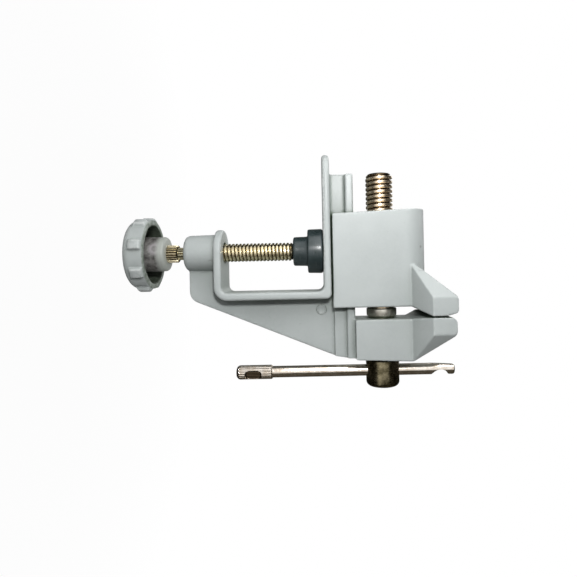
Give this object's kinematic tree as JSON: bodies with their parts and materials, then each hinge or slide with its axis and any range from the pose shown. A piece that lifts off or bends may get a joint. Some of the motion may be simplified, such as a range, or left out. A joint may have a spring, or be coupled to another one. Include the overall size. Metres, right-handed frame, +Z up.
{
  "type": "clamp-on bench vise",
  "caption": "Small clamp-on bench vise: sliding jaw on a T-shaped rail, worked by a screw with a sliding bar, held to a table edge by a screw clamp with a ribbed knob and swivel pad.",
  "frame": {"origin": "on the underside of the table plate, on the axis of the table clamp's screw, in the plane of symmetry", "axes": "+Z up from the table, +X towards the user and the screw's head, Y across the jaws"},
  "size_m": [0.0806, 0.03, 0.1118],
  "materials": {
    "painted_casting": "die-cast aluminium under silver-grey satin paint",
    "painted_knob": "die-cast aluminium under silver-grey satin paint, hub worn to bare metal",
    "plated_screw": "turned and rolled steel, zinc plated, slightly warm",
    "collar_steel": "turned steel, dull",
    "nickel_bar": "drawn steel, nickel plated, bright",
    "pad_plastic": "moulded dark grey plastic, satin"
  },
  "bodies": {
    "vise_body": {"vise_body": "painted_casting"},
    "sliding_jaw": {"sliding_jaw": "painted_casting"},
    "main_screw": {"main_screw": "plated_screw", "retaining_collar": "collar_steel"},
    "handle_bar": {"handle_bar": "nickel_bar"},
    "clamp_pad": {"clamp_pad": "pad_plastic"},
    "clamp_screw": {"clamp_screw": "plated_screw", "knob": "painted_knob"}
  },
  "joints": [
    {"name": "main_screw_turn", "type": "hinge", "parent": "vise_body", "child": "main_screw", "pos_m": [0, 0, 0.02], "axis": [1, 0, 0], "range_deg": [-90, 5670]},
    {"name": "jaw_slide", "type": "slide", "parent": "vise_body", "child": "sliding_jaw", "axis": [-1, 0, 0], "range_m": [-0.0004, 0.02501]},
    {"name": "bar_slide", "type": "slide", "parent": "main_screw", "child": "handle_bar", "axis": [0, 0, 1], "range_m": [-0.011, 0.0325]},
    {"name": "clamp_pad_travel", "type": "slide", "parent": "vise_body", "child": "clamp_pad", "axis": [0, 0, 1], "range_m": [-0.0236, 0]},
    {"name": "clamp_screw_turn", "type": "hinge", "parent": "clamp_pad", "child": "clamp_screw", "pos_m": [0, 0, 0], "axis": [0, 0, 1], "range_deg": [-6660, 0]}
  ],
  "couplings": [
    {"joint": "jaw_slide", "follows": "main_screw_turn", "m_per_rad": 0.00025266},
    {"joint": "clamp_pad_travel", "follows": "clamp_screw_turn", "m_per_rad": 0.00020213}
  ]
}
